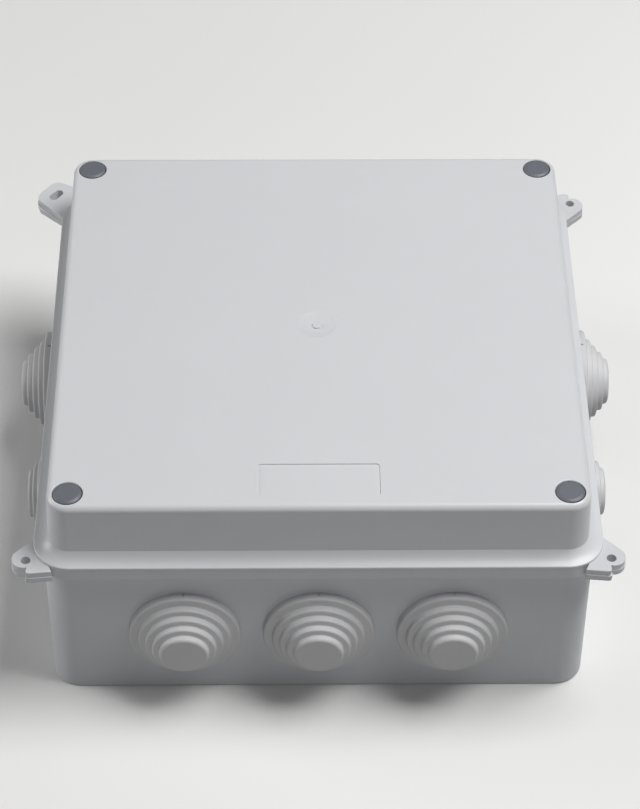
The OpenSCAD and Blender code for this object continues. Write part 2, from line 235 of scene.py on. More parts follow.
class Graph:
    """The nodes of one material round its Principled shader."""

    def __init__(self, name):
        self.material = bpy.data.materials.new(name)
        self.material.use_nodes = True
        self.nodes = self.material.node_tree.nodes
        self.links = self.material.node_tree.links
        self.shader = next(n for n in self.nodes if n.type == "BSDF_PRINCIPLED")
        self.place = self.node("ShaderNodeTexCoord", output="Object")

    def feed(self, node, sockets):
        """Gives sockets, by name or number, their values or links."""
        for key, value in sockets.items():
            if isinstance(value, Value):
                self.links.new(value.socket, node.inputs[key])
            else:
                node.inputs[key].default_value = value

    def node(self, kind, settings=None, sockets=None, output=0):
        """Adds a node: its settings first, then its sockets; one output comes back."""
        node = self.nodes.new(kind)
        for key, value in (settings or {}).items():
            setattr(node, key, value)
        self.feed(node, sockets or {})
        return Value(self, node.outputs[output])

    def maths(self, operation, first, second):
        """A Math node on two values."""
        return self.node("ShaderNodeMath", {"operation": operation}, {0: first, 1: second})

    def between(self, value, low, high, out_low=0.0, out_high=1.0):
        """Maps a value from one range to another, smoothly and clamped."""
        names = ("Value", "From Min", "From Max", "To Min", "To Max")
        sockets = dict(zip(names, (value, low, high, out_low, out_high)))
        settings = {"interpolation_type": "SMOOTHSTEP"}
        return self.node("ShaderNodeMapRange", settings, sockets)

    def noise(self, size, detail=2.0, rough=0.5):
        """Noise from 0 to 1 whose features are about size metres wide."""
        scale = {"Scale": 1.0 / size, "Detail": detail, "Roughness": rough}
        return self.node("ShaderNodeTexNoise", sockets={"Vector": self.place, **scale})

    def blend(self, factor, first, second):
        """A colour between two colours."""
        settings = {"data_type": "RGBA"}
        sockets = {0: factor, 6: first, 7: second}
        return self.node("ShaderNodeMix", settings, sockets, output=2)

    def vector(self, operation, first, second=None, output=0):
        """A Vector Math node."""
        sockets = {0: first} if second is None else {0: first, 1: second}
        return self.node("ShaderNodeVectorMath", {"operation": operation}, sockets, output)

    def bump(self, height, depth, under=None):
        """Bump of a height from 0 to 1 that stands for depth metres."""
        sockets = {"Height": height, "Distance": depth}
        if under is not None:
            sockets["Normal"] = under
        return self.node("ShaderNodeBump", sockets=sockets)

    def finish(self, tone, gloss, bumps=None, constants=None):
        """Gives the shader its colour, roughness, bumps and constants."""
        sockets = {"Base Color": tone, "Roughness": gloss, **(constants or {})}
        if bumps is not None:
            sockets["Normal"] = bumps
        self.feed(self.shader, sockets)
        return self.material


def shade(colour, share):
    """A colour made lighter or darker by a share, with its alpha."""
    return (*[min(1.0, part * share) for part in colour], 1.0)


def moulded_plastic(name, settings, gate=False):
    """Satin moulded plastic with an eroded grain, slow flow tones and faint dust,
    and a slightly glossier, paler halo round a moulding gate."""
    graph = Graph(name)
    colour = settings.colour
    grain = 0.5 * MM
    flow = graph.noise(60 * MM, detail=3.0, rough=0.6)
    dust = graph.between(graph.noise(9 * MM, detail=5.0, rough=0.7), 0.52, 0.74)
    tone = graph.blend(flow, shade(colour, 0.975), shade(colour, 1.02))
    tone = graph.blend(dust * 0.10, tone, shade(colour, 1.10))
    gloss = settings.roughness + 0.05 * (flow - 0.5) + 0.05 * dust
    if gate:
        around = graph.vector("MULTIPLY", graph.place, (1.0, 1.0, 0.0))
        away = graph.vector("LENGTH", around, output="Value")
        halo = graph.between(away, 8 * MM, 34 * MM, 1.0, 0.0)
        gloss = gloss - 0.05 * halo
        tone = graph.blend(halo * 0.25, tone, shade(colour, 1.03))
    fine = graph.noise(grain, detail=2.0)
    coarse = graph.noise(8 * grain, detail=1.0)
    surface = graph.bump(fine * 0.8 + coarse * 0.2, 0.02 * MM)
    wave = graph.bump(graph.noise(45 * MM, detail=0.0), 0.12 * MM, under=surface)
    return graph.finish(tone, gloss, wave, {"IOR": 1.5, "Specular IOR Level": 0.5})


def gland_rubber(colour):
    """Soft rubber: fine pits, a pale bloom and slightly glossier patches."""
    graph = Graph("gland_rubber")
    mottle = graph.noise(14 * MM, detail=4.0, rough=0.6)
    bloom = graph.between(graph.noise(3 * MM, detail=3.0), 0.5, 0.8)
    tone = graph.blend(mottle, shade(colour, 0.97), shade(colour, 1.03))
    tone = graph.blend(bloom * 0.16, tone, shade(colour, 1.12))
    gloss = 0.50 + 0.12 * mottle + 0.06 * bloom
    pits = graph.bump(graph.noise(0.7 * MM, detail=3.0, rough=0.6), 0.035 * MM)
    return graph.finish(tone, gloss, pits, {"IOR": 1.52, "Specular IOR Level": 0.45})


def cap_plastic(colour):
    """Dark satin plastic with a fine grain and scuffed lighter specks."""
    graph = Graph("cap_plastic")
    cloud = graph.noise(4 * MM, detail=3.0)
    speck = graph.between(graph.noise(0.8 * MM, detail=2.0), 0.62, 0.72)
    tone = graph.blend(cloud, shade(colour, 1.08), shade(colour, 1.22))
    tone = graph.blend(speck * 0.18, tone, shade(colour, 1.7))
    gloss = 0.40 + 0.10 * cloud + 0.08 * speck
    grain = graph.bump(graph.noise(0.45 * MM, detail=2.0), 0.03 * MM)
    return graph.finish(tone, gloss, grain, {"IOR": 1.5})


def seal_foam(colour):
    """Closed-cell foam: small raised cells, lighter in their middles, with painted shade along
    the low borders between them.
    """
    graph = Graph("seal_foam")
    sockets = {"Vector": graph.place, "Scale": 1.0 / (0.7 * MM)}
    cells = graph.node("ShaderNodeTexVoronoi", {"feature": "F1"}, sockets, "Distance")
    # The cell pattern is the foam's own; its darkening towards the low cell borders is painted
    # shade.
    tone = graph.blend(cells, shade(colour, 1.8), shade(colour, 0.7))
    skin = graph.bump(1.0 - cells, 0.15 * MM)
    return graph.finish(tone, 0.85 + 0.1 * cells, skin)


def zinc_steel(colour, corner):
    """Zinc plated steel, turned in fine rings about each screw's own axis."""
    graph = Graph("zinc_steel")
    mirrored = graph.vector("ABSOLUTE", graph.place)
    local = graph.vector("SUBTRACT", mirrored, (corner, corner, 0.0))
    flat = graph.vector("MULTIPLY", local, (1.0, 1.0, 0.0))
    away = graph.vector("LENGTH", flat, output="Value")
    waves = away * (2 * math.pi / (0.18 * MM))
    rings = graph.node("ShaderNodeMath", {"operation": "SINE"}, {0: waves})
    stain = graph.noise(2.2 * MM, detail=4.0, rough=0.65)
    tone = graph.blend(stain, shade(colour, 0.86), shade(colour, 1.12))
    gloss = 0.26 + 0.16 * stain
    lathe = graph.bump(0.5 + 0.5 * rings, 0.004 * MM)
    return graph.finish(tone, gloss, lathe, {"Metallic": 1.0})


def dress(piece, material):
    """Leaves a piece with this one material."""
    piece.data.materials.clear()
    piece.data.materials.append(material)


def start_clean(*pieces):
    """Back to object mode with only these pieces selected, the first one active."""
    if bpy.context.object and bpy.context.object.mode != "OBJECT":
        bpy.ops.object.mode_set(mode="OBJECT")
    bpy.ops.object.select_all(action="DESELECT")
    for piece in pieces:
        piece.select_set(True)
    if pieces:
        bpy.context.view_layer.objects.active = pieces[0]


def edit(piece):
    """Enters edit mode on one piece, with nothing of it selected."""
    start_clean(piece)
    bpy.ops.object.mode_set(mode="EDIT")
    bpy.ops.mesh.select_mode(type="EDGE")
    bpy.ops.mesh.select_all(action="DESELECT")


def settle(piece):
    """Leaves edit mode with doubles merged and every face turned outwards."""
    bpy.ops.mesh.select_all(action="SELECT")
    bpy.ops.mesh.remove_doubles(threshold=0.0005 * MM)
    bpy.ops.mesh.normals_make_consistent(inside=False)
    bpy.ops.object.mode_set(mode="OBJECT")
    return piece


def turned(name, outline, segments=SEGMENTS):
    """Turns an outline of (radius, height) points about the z axis into a solid.
    It starts and ends with a disc, so a hollow piece begins on its inner face."""
    start_clean()
    radius, height = outline[0]
    bpy.ops.mesh.primitive_circle_add(
        vertices=segments,
        radius=radius,
        fill_type="NGON",
        location=(0, 0, height),
        rotation=(0, 0, math.pi / segments),
    )
    piece = bpy.context.object
    piece.name = piece.data.name = name
    bpy.ops.object.transform_apply(location=True, rotation=True, scale=True)
    bpy.ops.object.mode_set(mode="EDIT")
    bpy.ops.mesh.select_all(action="SELECT")
    for next_radius, next_height in outline[1:]:
        rise = next_height - height
        bpy.ops.mesh.extrude_region_move(TRANSFORM_OT_translate={"value": (0, 0, rise)})
        grow = next_radius / radius
        bpy.ops.transform.resize(value=(grow, grow, 1.0), center_override=(0, 0, next_height))
        radius, height = next_radius, next_height
    return settle(piece)


def pick(piece, elements, wanted):
    """In edit mode, selects the vertices or edges that pass a test."""
    mesh = bmesh.from_edit_mesh(piece.data)
    for element in getattr(mesh, elements):
        if wanted(element):
            element.select_set(True)
    mesh.select_flush_mode()
    bmesh.update_edit_mesh(piece.data)


def bevel(piece, wanted, radius, segments):
    """Rounds the edges that pass a test."""
    edit(piece)
    pick(piece, "edges", wanted)
    bpy.ops.mesh.bevel(offset=radius, segments=segments, clamp_overlap=True)
    bpy.ops.object.mode_set(mode="OBJECT")


def round_rings(piece, rings, radius, segments):
    """Rounds ring edges, given by their (radius, height) places."""

    def on_a_ring(edge):
        """Whether both ends lie on one of the rings."""
        ends = [(math.hypot(v.co.x, v.co.y), v.co.z) for v in edge.verts]
        return any(
            all(abs(out - ring) < NEAR and abs(z - height) < NEAR for out, z in ends)
            for ring, height in rings
        )

    bevel(piece, on_a_ring, radius, segments)


def boolean(piece, other, operation):
    """Joins the other piece to this one, or cuts it out, and takes the other away."""
    start_clean(piece)
    modifier = piece.modifiers.new("boolean", "BOOLEAN")
    modifier.operation = operation
    modifier.solver = "EXACT"
    modifier.object = other
    bpy.ops.object.modifier_apply(modifier=modifier.name)
    remove(other)


def cut(piece, cutter):
    """Takes the cutter's space out of a piece."""
    boolean(piece, cutter, "DIFFERENCE")


def fuse(piece, other):
    """Makes another piece part of this one."""
    boolean(piece, other, "UNION")


def spread_corners(piece, corner):
    """Moves the quarters of a turned piece out to the corners' centres, which
    carries its section round the rounded square."""
    for side_x, side_y in CORNERS.values():
        edit(piece)
        bpy.ops.mesh.select_mode(type="VERT")
        pick(piece, "verts", lambda v: v.co.x * side_x > 0 and v.co.y * side_y > 0)
        bpy.ops.transform.translate(value=(side_x * corner, side_y * corner, 0))
    bpy.ops.object.mode_set(mode="OBJECT")


def plate(name, outline, low, high, top_edge, low_edge):
    """A flat plate of any outline, with its top and bottom edges rounded."""
    start_clean()
    bpy.ops.mesh.primitive_circle_add(
        vertices=len(outline), fill_type="NGON", location=(0, 0, 0)
    )
    piece = bpy.context.object
    piece.name = piece.data.name = name
    for vertex, (x, y) in zip(piece.data.vertices, outline):
        vertex.co = (x, y, low)
    bpy.ops.object.mode_set(mode="EDIT")
    bpy.ops.mesh.select_all(action="SELECT")
    bpy.ops.mesh.extrude_region_move(TRANSFORM_OT_translate={"value": (0, 0, high - low)})
    settle(piece)
    for height, radius in ((high, top_edge), (low, low_edge)):
        if radius:
            bevel(piece, lambda e: all(abs(v.co.z - height) < NEAR for v in e.verts), radius, 3)
    return piece


def rod(name, radius, low, high, place=(0, 0), segments=48):
    """An upright cylinder."""
    piece = turned(name, [(radius, low), (radius, high)], segments)
    piece.data.transform(Matrix.Translation((*place, 0)))
    return piece


def together(name, pieces):
    """Joins pieces into one object without merging their solids."""
    start_clean(*pieces)
    bpy.ops.object.join()
    pieces[0].name = pieces[0].data.name = name
    return pieces[0]


def arc(centre, radius, start, end, steps):
    """Points along an arc, from one angle to another in degrees."""
    angles = [math.radians(start + (end - start) * step / steps) for step in range(steps + 1)]
    return [(centre[0] + radius * math.cos(a), centre[1] + radius * math.sin(a)) for a in angles]


def smooth(piece, degrees=30):
    """Smooth shading with edges sharper than this left crisp."""
    start_clean(piece)
    bpy.ops.object.shade_smooth_by_angle(angle=math.radians(degrees))
    weighted = piece.modifiers.new("weighted", "WEIGHTED_NORMAL")
    weighted.keep_sharp = True
    bpy.ops.object.modifier_apply(modifier=weighted.name)
    return piece


def block(name, size, centre):
    """A box-shaped piece."""
    start_clean()
    bpy.ops.mesh.primitive_cube_add(size=1.0, location=centre, scale=size)
    bpy.ops.object.transform_apply(location=True, rotation=True, scale=True)
    piece = bpy.context.object
    piece.name = name
    return piece


def cut_cross(piece, name, size, middle):
    """Cuts two crossed slots of one size about a middle."""
    length, width, height = size
    for across in ((width, length, height), size):
        cut(piece, block(name, across, middle))


def place_mesh(mesh, matrix):
    """Moves a mesh by a matrix; a mirrored mesh keeps its faces outwards."""
    mesh.transform(matrix)
    if matrix.determinant() < 0:
        mesh.flip_normals()


def placed_copy(piece, name, matrix):
    """A copy with its own mesh, put in place in that mesh."""
    mesh = piece.data.copy()
    mesh.name = name
    place_mesh(mesh, matrix)
    copy = bpy.data.objects.new(name, mesh)
    bpy.context.scene.collection.objects.link(copy)
    return copy


def remove(piece):
    """Takes a piece out of the scene."""
    bpy.data.objects.remove(piece, do_unlink=True)


def corner_distance():
    """Distance of the screws' axes from the middle, both ways."""
    low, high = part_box("cap_front_right")
    return (low.x + high.x) / 2


def corner_place(side_x, side_y):
    """Where a corner's screw axis stands."""
    corner = corner_distance()
    return side_x * corner, side_y * corner


def to_corner(piece, side_x, side_y):
    """Mirrors a piece into its quarter and moves it out to the corner's centre."""
    out = Matrix.Translation((*corner_place(side_x, side_y), 0))
    place_mesh(piece.data, out @ Matrix.Diagonal((side_x, side_y, 1.0, 1.0)))
    return piece


def step_radius(settings, step):
    """Outer radius of a gland's step, counted from the flange."""
    return settings.hole / 2 - settings.step_in * step


def step_height(settings, step):
    """Height of a step above the wall."""
    rise = (settings.height - settings.flange_height) / settings.steps
    return settings.flange_height + rise * (step + 1)


def gland_pattern(settings, grip):
    """One gland standing on z = 0, with a bead behind a wall of the given thickness."""
    bead_out = 1.8 * MM
    lip = 0.8 * MM
    slack = 0.05 * MM
    ring = settings.hole / 2
    last = settings.steps - 1
    inner = [(step_radius(settings, last) - settings.rubber, settings.height - settings.rubber)]
    for step in reversed(range(last)):
        top = step_height(settings, step) - settings.rubber
        inner.append((inner[-1][0], top))
        inner.append((step_radius(settings, step) - settings.rubber, top))
    mouth = -grip - BEAD_HEIGHT
    inner.append((inner[-1][0], mouth))
    bead = [
        (ring - 0.2 * MM, mouth),
        (ring + bead_out, -grip - lip),
        (ring + bead_out, -grip),
        (ring - slack, -grip),
        (ring - slack, 0.0),
    ]
    flange_radius = settings.flange / 2
    outer = [(flange_radius, 0.0), (flange_radius, settings.flange_height)]
    crests = [outer[-1]]
    valleys = []
    below = settings.flange_height
    for step in range(settings.steps):
        radius, top = step_radius(settings, step), step_height(settings, step)
        outer += [(radius, below), (radius, top)]
        valleys.append((radius, below))
        crests.append((radius, top))
        below = top
    gland = turned("gland_pattern", inner + bead + outer)
    round_rings(gland, crests[:-1], settings.crest, 5)
    round_rings(gland, crests[-1:], 1.6 * settings.crest, 6)
    round_rings(gland, valleys, settings.valley, 3)
    notch = (1.2 * MM, 0.6 * MM, 4.0 * MM)
    cut(gland, block("notch", notch, (-flange_radius, 0, 0)))
    return smooth(gland, 35)


def gland_place(node, height):
    """Where a gland stands: its wall face, turned so that z points out of the wall."""
    low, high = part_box(node)
    centre = (low + high) / 2
    side = node.split("_")[1]
    turn = {"right": 0, "back": 90, "left": 180, "front": 270}[side]
    outward = Matrix.Rotation(math.radians(turn), 4, "Z")
    out = outward @ Vector((1, 0, 0))
    reach = max(low.dot(out), high.dot(out))
    foot = centre - out * centre.dot(out) + out * (reach - height)
    return Matrix.Translation(foot) @ outward @ Matrix.Rotation(math.radians(90), 4, "Y")


def body_shell(settings, corner, rim):
    """The body's walls, floor, flange and groove, up to its rim."""
    outer = settings.corner
    inner = outer - settings.wall
    flange = outer + settings.flange_out
    groove = outer + GROOVE_OUT
    groove_in, groove_out = groove - settings.groove / 2, groove + settings.groove / 2
    groove_floor = rim - settings.groove_depth
    flange_foot = rim - settings.flange_height
    outline = [
        (inner, settings.floor),
        (inner, rim),
        (groove_in, rim),
        (groove_in, groove_floor),
        (groove_out, groove_floor),
        (groove_out, rim),
        (flange, rim),
        (flange, flange_foot),
        (outer, flange_foot),
        (outer, 0.0),
    ]
    shell = turned("body_shell", outline)
    round_rings(shell, [(inner, settings.floor)], 1.0 * MM, 3)
    round_rings(shell, [(inner, rim), (groove_in, rim), (groove_out, rim)], 0.25 * MM, 2)
    round_rings(shell, [(flange, flange_foot)], settings.edge, 4)
    round_rings(shell, [(outer, flange_foot)], 0.8 * MM, 4)
    round_rings(shell, [(outer, 0.0)], 0.8 * MM, 3)
    spread_corners(shell, corner)
    return shell


def ear_root(settings):
    """Radius of an ear's inner border, which runs inside the flange."""
    return settings.corner + settings.flange_out - ROOT_IN


def ear_outline(settings, grow):
    """A like ear: a cornered end beside its hole, a notch and a tab with a pointed tip."""
    hole_x, hole_y = EAR_HOLE
    end = (hole_x + 0.8 * MM, hole_y - 0.9 * MM)
    radius = 4.4 * MM + grow / 2
    tab_x = hole_x - 0.2 * MM + grow
    tab_y = hole_y + 6.3 * MM + grow
    tab = [
        (tab_x, tab_y - 2.0 * MM),
        (tab_x, tab_y - 1.1 * MM),
        (tab_x - 0.4 * MM, tab_y - 0.3 * MM),
        (tab_x - 1.2 * MM, tab_y),
        (6.3 * MM, tab_y - 0.8 * MM),
    ]
    root = ear_root(settings)
    back = [
        (root, -3.0 * MM),
        (hole_x + 4.2 * MM + grow / 2, hole_y - 3.8 * MM - grow / 2),
        (hole_x + 4.8 * MM + grow / 2, hole_y - 3.3 * MM),
    ]
    return back + arc(end, radius, -8, 106, 14) + tab + arc((0, 0), root, 50, 0, 8)


def large_ear_outline(settings, grow):
    """The larger ear: its lower layer swings out at the front."""
    hole_x, _ = EAR_HOLE
    root = ear_root(settings)
    swing = 6 * grow
    points = [
        (root, -0.75 * MM),
        (hole_x + 7.4 * MM + grow / 2, 10.8 * MM - swing),
        (hole_x + 8.4 * MM + grow, 12.4 * MM - grow),
        (hole_x + 8.6 * MM + grow, 14.2 * MM),
        (hole_x + 7.6 * MM + grow, 16.8 * MM),
        (hole_x + 3.4 * MM + grow, 22 * MM),
        (hole_x + 1.6 * MM, 23 * MM + grow),
        (hole_x - 0.4 * MM, 22.8 * MM + grow),
        (hole_x - 6 * MM, 20 * MM + grow),
    ]
    return points + arc((0, 0), root, 72, 0, 8)


def ear(settings, outline, rim, side_x, side_y):
    """An ear of two layers at one corner, still without its hole."""
    low = rim - settings.ear_height
    middle = rim - settings.ear_height / 2
    lap = 0.4 * MM
    step_edge = 0.12 * MM
    wide = outline(settings, settings.ear_step)
    upper = plate("ear", outline(settings, 0.0), middle - lap, rim, settings.edge, 0.0)
    lower = plate("ear_low", wide, low, middle, step_edge, settings.edge)
    fuse(upper, lower)
    return to_corner(upper, side_x, side_y)


def ear_drill(settings, rim, side_x, side_y):
    """Cutter for an ear's round hole, or for the larger ear's slot."""
    x, y = EAR_HOLE
    radius = 1.8 * MM
    past = 1 * MM
    low, high = rim - settings.ear_height - past, rim + past
    if (side_x, side_y) == CORNERS["back_left"]:
        lean = Matrix.Rotation(-math.radians(52), 4, "Z")
        x, y = x + 1.2 * MM, y + 6.2 * MM
        run = 1.7 * MM
        outline = arc((run, 0), radius, -90, 90, 16) + arc((-run, 0), radius, 90, 270, 16)
        drill = plate("drill", outline, low, high, 0.0, 0.0)
        drill.data.transform(Matrix.Translation((x, y, 0)) @ lean)
    else:
        drill = rod("drill", radius, low, high, (x, y))
    return to_corner(drill, side_x, side_y)


def posts_and_bosses(settings, corner, rim):
    """The corner posts on their webs and the four mounting bosses on the floor."""
    foot = settings.floor - 1 * MM
    post_top = rim - 0.2 * MM
    web_top = post_top - 2 * MM
    reach = settings.corner - settings.wall + 0.5 * MM
    web = 2 * MM
    post_radius, boss_radius = 6 * MM, 4 * MM
    boss_top = settings.floor + 5 * MM
    pieces = []
    for side_x, side_y in CORNERS.values():
        post = rod("post", post_radius, foot, post_top, corner_place(side_x, side_y))
        height = web_top - foot
        for size, out in (((reach, web, height), (1, 0)), ((web, reach, height), (0, 1))):
            x = side_x * (corner + out[0] * reach / 2)
            y = side_y * (corner + out[1] * reach / 2)
            fuse(post, block("web", size, (x, y, (web_top + foot) / 2)))
        boss = (side_x * BOSS_PLACE, side_y * BOSS_PLACE)
        pieces += [post, rod("boss", boss_radius, foot, boss_top, boss)]
    return together("posts", pieces)


def gland_drills(settings, glands):
    """Cutters for the holes that carry the glands, and the side walls' raised pads."""
    depth, least, pad_radius = 8 * MM, 1 * MM, 22 * MM
    drills, pads = [], []
    for node in GLAND_NODES:
        low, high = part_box(node)
        centre = (low + high) / 2
        across = abs(centre.x) > abs(centre.y)
        turn = Matrix.Rotation(math.radians(90), 4, "Y" if across else "X")
        half = corner_distance() + settings.corner
        side = math.copysign(half, centre.x if across else centre.y)
        foot = Vector((side, centre.y, centre.z) if across else (centre.x, side, centre.z))
        drill = rod("drill", glands.hole / 2, -depth, depth, segments=SEGMENTS)
        drill.data.transform(Matrix.Translation(foot) @ turn)
        drills.append(drill)
        pad = max(abs(low.x), abs(high.x)) - half - glands.height
        if across and pad > least:
            ring = rod("pad", pad_radius, -1 * MM, pad, segments=SEGMENTS)
            round_rings(ring, [(pad_radius, pad)], 0.5 * MM, 3)
            facing = Matrix.Rotation(math.radians(90) * math.copysign(1, side), 4, "Y")
            ring.data.transform(Matrix.Translation(foot) @ facing)
            pads.append(ring)
    return together("drills", drills), together("pads", pads)


class JBOX_OT_body(bpy.types.Operator):
    """Models the body: swept walls and flange, layered ears, posts and gland holes"""

    bl_idname = "jbox.body"
    bl_label = "Body"

    def execute(self, context):
        settings = context.scene.jbox_body
        corner = corner_distance()
        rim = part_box("base")[1].z
        body = body_shell(settings, corner, rim)
        for side_x, side_y in CORNERS.values():
            large = (side_x, side_y) == CORNERS["back_left"]
            outline = large_ear_outline if large else ear_outline
            fuse(body, ear(settings, outline, rim, side_x, side_y))
        fuse(body, posts_and_bosses(settings, corner, rim))
        drills, pads = gland_drills(settings, context.scene.jbox_glands)
        fuse(body, pads)
        cut(body, drills)
        screw_bore, boss_bore = 2.05 * MM, 1.6 * MM
        floor = settings.floor
        holes = []
        for side_x, side_y in CORNERS.values():
            post = corner_place(side_x, side_y)
            boss = (side_x * BOSS_PLACE, side_y * BOSS_PLACE)
            holes += [
                ear_drill(settings, rim, side_x, side_y),
                rod("bore", screw_bore, rim - 22 * MM, rim + 1 * MM, post),
                rod("bore", boss_bore, floor, floor + 6 * MM, boss),
            ]
        cut(body, together("holes", holes))
        smooth(body)
        dress(body, moulded_plastic("body_plastic", settings))
        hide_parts("base")
        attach(body, "box")
        return {"FINISHED"}


def lid_outline(settings, body, foot, top):
    """The lid's section outwards from the corner's centre, without its rounded edges."""
    top_radius = body.corner - settings.inset
    foot_radius = top_radius + settings.lean
    inside = settings.plate
    groove = body.corner + GROOVE_OUT
    tongue = (body.groove - 0.8 * MM) / 2
    tongue_low = foot - body.groove_depth + 1.6 * MM
    skirt = body.corner + body.flange_out + SKIRT_OUT
    edge_top = foot + settings.skirt_edge
    wall_foot = edge_top + settings.skirt_rise
    inner = [
        (top_radius - inside, top - settings.plate),
        (foot_radius - inside, wall_foot),
        (foot_radius - inside, foot),
        (groove - tongue, foot),
        (groove - tongue, tongue_low),
        (groove + tongue, tongue_low),
        (groove + tongue, foot),
        (skirt, foot),
        (skirt, edge_top),
    ]
    hollow = skirt_hollow((skirt, edge_top), (foot_radius, wall_foot), settings.skirt_curve, 8)
    return inner + hollow + [(top_radius, top)]


def skirt_hollow(low, high, radius, steps):
    """Points on the hollow curve from the skirt's edge up to the foot of the wall."""
    low, high = Vector(low), Vector(high)
    chord = high - low
    away = math.sqrt(radius**2 - (chord.length / 2) ** 2)
    centre = (low + high) / 2 + away * Vector((chord.y, -chord.x)).normalized()
    start, end = (math.degrees(math.atan2(*(p - centre).yx)) for p in (low, high))
    turn = (end - start + 180) % 360 - 180
    return arc(centre, radius, start, start + turn, steps)[1:]


def dish_cutter(settings, top):
    """Cutter for the gate's round dish, which leaves the nib in its middle standing."""
    rim = settings.dish / 2
    sink = settings.dish_sink
    curve = (rim**2 + sink**2) / (2 * sink)
    nib = 1.7 * MM
    nib_top = top - 0.3 * sink

    def floor(radius):
        """Height of the dish at a distance from its middle."""
        return top - sink + curve - math.sqrt(curve**2 - radius**2)

    steps = 10
    radii = [nib + (rim - nib) * step / steps for step in range(1, steps + 1)]
    outline = [
        (nib - 0.25 * MM, nib_top),
        (nib, nib_top - 0.2 * MM),
        (nib + 0.02 * MM, floor(nib)),
        *[(radius, floor(radius)) for radius in radii],
        (rim + 0.6 * MM, top + 0.06 * MM),
        (rim + 0.8 * MM, top + 1 * MM),
    ]
    cutter = turned("dish", outline)
    cutter.data.transform(Matrix.Translation((0, -settings.dish_forward, 0)))
    return cutter


def well_cutter(top, foot, place):
    """Cutter for a screw's clearance, its well and the cap's recess with a soft rim."""
    seat = foot + 2.97 * MM
    recess = top - 2.2 * MM
    clearance, well, rim = 2.3 * MM, 4.5 * MM, 5.45 * MM
    outline = [
        (clearance, foot - 4 * MM),
        (clearance, seat),
        (well, seat),
        (well, recess),
        (rim, recess),
        (rim, top - 0.45 * MM),
        (rim + 0.08 * MM, top - 0.25 * MM),
        (rim + 0.25 * MM, top - 0.08 * MM),
        (rim + 0.6 * MM, top + 0.03 * MM),
        (rim + 0.7 * MM, top + 1 * MM),
    ]
    cutter = turned("well", outline, 64)
    cutter.data.transform(Matrix.Translation((*place, 0)))
    return cutter


class JBOX_OT_lid(bpy.types.Operator):
    """Models the lid: swept wall and skirt, screw tubes, dish and marking field"""

    bl_idname = "jbox.lid"
    bl_label = "Lid"

    def execute(self, context):
        settings = context.scene.jbox_lid
        body = context.scene.jbox_body
        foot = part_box("base")[1].z
        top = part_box("lid")[1].z
        outline = lid_outline(settings, body, foot, top)
        lid = turned("lid_shell", outline)
        skirt_low, skirt_high, top_edge = outline[7], outline[8], outline[-1]
        round_rings(lid, [top_edge], settings.rounding, 8)
        round_rings(lid, [skirt_high], 0.35 * MM, 3)
        round_rings(lid, [skirt_low], 0.15 * MM, 2)
        spread_corners(lid, corner_distance())
        places = [corner_place(*sides) for sides in CORNERS.values()]
        tube, tube_top = 6.5 * MM, top - settings.plate / 2
        tubes = [rod("tube", tube, foot, tube_top, place, 64) for place in places]
        fuse(lid, together("tubes", tubes))
        cut(lid, together("wells", [well_cutter(top, foot, place) for place in places]))
        cut(lid, dish_cutter(settings, top))
        cut(lid, self.field(settings, top))
        smooth(lid)
        dress(lid, moulded_plastic("lid_plastic", settings, gate=True))
        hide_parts("lid")
        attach(lid, "cover")
        return {"FINISHED"}

    def field(self, settings, top):
        """Cutter for the shallow marking field near the lid's front edge."""
        half_width, half_depth, rounding = 22 * MM, 7.8 * MM, 1.2 * MM
        middle = -83.2 * MM
        outline = []
        for quarter, (side_x, side_y) in enumerate(((1, 1), (-1, 1), (-1, -1), (1, -1))):
            centre = (side_x * (half_width - rounding), middle + side_y * (half_depth - rounding))
            outline += arc(centre, rounding, 90 * quarter, 90 * quarter + 90, 8)
        return plate("field", outline, top - settings.label_sink, top + 1 * MM, 0.0, 0.1 * MM)


class JBOX_OT_glands(bpy.types.Operator):
    """Models the stepped rubber glands and puts one in every hole"""

    bl_idname = "jbox.glands"
    bl_label = "Cable Glands"

    def execute(self, context):
        settings = context.scene.jbox_glands
        rubber = gland_rubber(settings.colour)
        patterns = {}
        for node in GLAND_NODES:
            low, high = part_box(node)
            depth = min((high - low).x, (high - low).y)
            squeeze = SIDE_SQUEEZE if node.endswith(("left_front", "right_front")) else 1.0
            height = settings.height * squeeze
            grip = depth - height - BEAD_HEIGHT
            key = (round(grip / MM, 2), squeeze)
            if key not in patterns:
                patterns[key] = gland_pattern(settings, grip)
            scale = Matrix.Diagonal((1.0, 1.0, squeeze, 1.0))
            place = gland_place(node, height) @ scale
            piece = placed_copy(patterns[key], node.replace("gland", "rubber"), place)
            dress(piece, rubber)
            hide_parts(node)
            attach(piece, "box")
        for pattern in patterns.values():
            remove(pattern)
        return {"FINISHED"}


